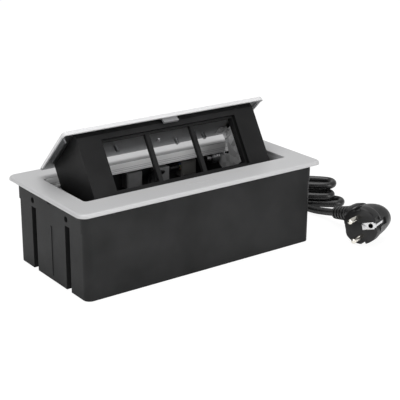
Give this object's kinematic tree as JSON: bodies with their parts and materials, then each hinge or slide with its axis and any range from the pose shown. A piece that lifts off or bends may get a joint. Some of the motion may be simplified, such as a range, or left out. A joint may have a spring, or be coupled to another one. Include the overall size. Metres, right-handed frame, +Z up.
{
  "type": "pop-up desk power module",
  "caption": "Flush-mounted pop-up power and data module for a desk, with a tilting lid and carrier, an open frame for insert modules and a corded plug.",
  "frame": {"origin": "bottom centre of the housing, under the middle of the bezel", "axes": "+X along the housing's length, +Y to the back where the pivot line and the lead are, +Z up out of the desk"},
  "size_m": [0.382, 0.2712, 0.1345],
  "materials": {
    "black_plastic": "satin",
    "carrier_plastic": "satin",
    "silver_paint": "satin",
    "silver_trim": "satin",
    "zinc_steel": "satin",
    "bright_steel": "gloss",
    "spring_steel": "satin",
    "grey_plastic": "matte",
    "cord_black": "satin",
    "plug_black": "satin",
    "white_plastic": "matte",
    "dark_grey_plastic": "satin",
    "core_brown": "satin",
    "core_blue": "satin",
    "core_green": "satin",
    "pin_brass": "polished"
  },
  "bodies": {
    "base": {"housing": "black_plastic", "bezel": "silver_paint", "rear_trim": "silver_trim", "bezel_screws": "zinc_steel", "catch_clip": "black_plastic", "hinge_bracket_left": "zinc_steel", "hinge_bracket_right": "zinc_steel", "bracket_screws": "zinc_steel", "hinge_pin_left": "bright_steel", "hinge_pin_right": "bright_steel", "torsion_spring_left": "spring_steel", "torsion_spring_right": "spring_steel", "terminal_block_left": "dark_grey_plastic", "cable_clamp": "dark_grey_plastic", "terminal_block_right": "white_plastic", "inner_cable": "cord_black", "core_live": "core_brown", "core_earth": "core_green", "core_neutral": "core_blue", "cable_gland": "black_plastic", "gland_nut": "black_plastic", "cord_lead": "cord_black", "cord_hank": "cord_black", "hank_tie": "cord_black", "cord_tail": "cord_black", "plug_body": "plug_black", "plug_relief": "cord_black", "plug_pin_live": "pin_brass", "plug_pin_neutral": "pin_brass", "plug_earth_contact": "bright_steel", "plug_earth_clip": "bright_steel"},
    "carrier": {"carrier": "carrier_plastic", "module_frame": "carrier_plastic", "hinge_plate_left": "zinc_steel", "hinge_plate_right": "zinc_steel", "plate_screws": "bright_steel", "lid": "silver_paint", "lid_screws": "bright_steel", "lid_bracket_left": "zinc_steel", "lid_bracket_right": "zinc_steel", "latch_striker": "grey_plastic"}
  },
  "joints": [
    {"name": "carrier_tilt", "type": "hinge", "parent": "base", "child": "carrier", "pos_m": [0, 0.0453, 0.0652], "axis": [1, 0, 0], "range_deg": [0, 45], "stiffness_Nm_per_rad": 0.25, "springref_deg": -51.57, "deforming": ["torsion_spring_left", "torsion_spring_right"]}
  ]
}
